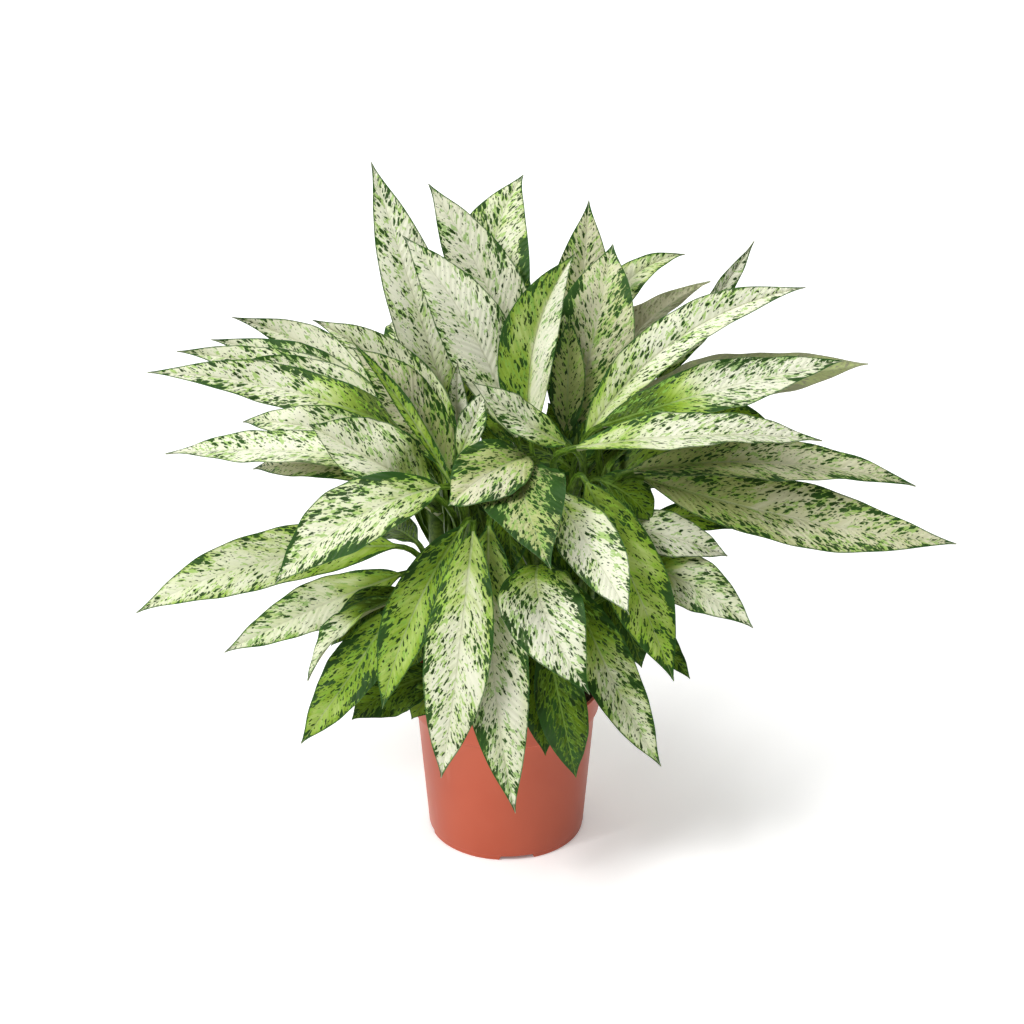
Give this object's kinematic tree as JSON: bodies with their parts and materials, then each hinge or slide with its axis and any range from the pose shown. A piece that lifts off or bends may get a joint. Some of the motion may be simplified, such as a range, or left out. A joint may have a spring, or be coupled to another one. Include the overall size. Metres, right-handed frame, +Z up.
{
  "type": "potted dieffenbachia",
  "caption": "Bushy dieffenbachia house plant with long, flecked, cream-and-green leaves on upright canes in a plain tapered nursery pot.",
  "frame": {"origin": "on the surface that the pot stands on, under the pot's centre", "axes": "+Z up, -Y towards the front of the plant, +X to its right as seen from the front"},
  "size_m": [0.7753, 0.5405, 0.6701],
  "materials": {
    "pot": "terracotta-coloured moulded plastic, satin",
    "soil": "moist peat and bark potting mix",
    "cane": "smooth green stems ringed by leaf scars, with green leaf stalks",
    "leaf": "waxy living leaf, cream with green flecks and a dark green edge"
  },
  "bodies": {
    "root": {"pot": "pot", "soil": "soil", "cane_a": "cane", "cane_b": "cane", "cane_c": "cane", "cane_d": "cane", "cane_e": "cane", "cane_f": "cane", "cane_g": "cane", "leaf_a1": "leaf", "leaf_a2": "leaf", "leaf_a3": "leaf", "leaf_a4": "leaf", "leaf_a5": "leaf", "leaf_a6": "leaf", "leaf_a7": "leaf", "leaf_b1": "leaf", "leaf_b2": "leaf", "leaf_b3": "leaf", "leaf_b4": "leaf", "leaf_b5": "leaf", "leaf_b6": "leaf", "leaf_b7": "leaf", "leaf_c1": "leaf", "leaf_c2": "leaf", "leaf_c3": "leaf", "leaf_c4": "leaf", "leaf_c5": "leaf", "leaf_c6": "leaf", "leaf_c7": "leaf", "leaf_c8": "leaf", "leaf_c9": "leaf", "leaf_c10": "leaf", "leaf_d1": "leaf", "leaf_d2": "leaf", "leaf_d3": "leaf", "leaf_d4": "leaf", "leaf_d5": "leaf", "leaf_d6": "leaf", "leaf_d7": "leaf", "leaf_d8": "leaf", "leaf_e1": "leaf", "leaf_e2": "leaf", "leaf_e3": "leaf", "leaf_e4": "leaf", "leaf_e5": "leaf", "leaf_e6": "leaf", "leaf_e7": "leaf", "leaf_f1": "leaf", "leaf_f2": "leaf", "leaf_f3": "leaf", "leaf_f4": "leaf", "leaf_f5": "leaf", "leaf_f6": "leaf", "leaf_f7": "leaf", "leaf_f8": "leaf", "leaf_g1": "leaf", "leaf_g2": "leaf", "leaf_g3": "leaf", "leaf_g4": "leaf"}
  },
  "joints": []
}
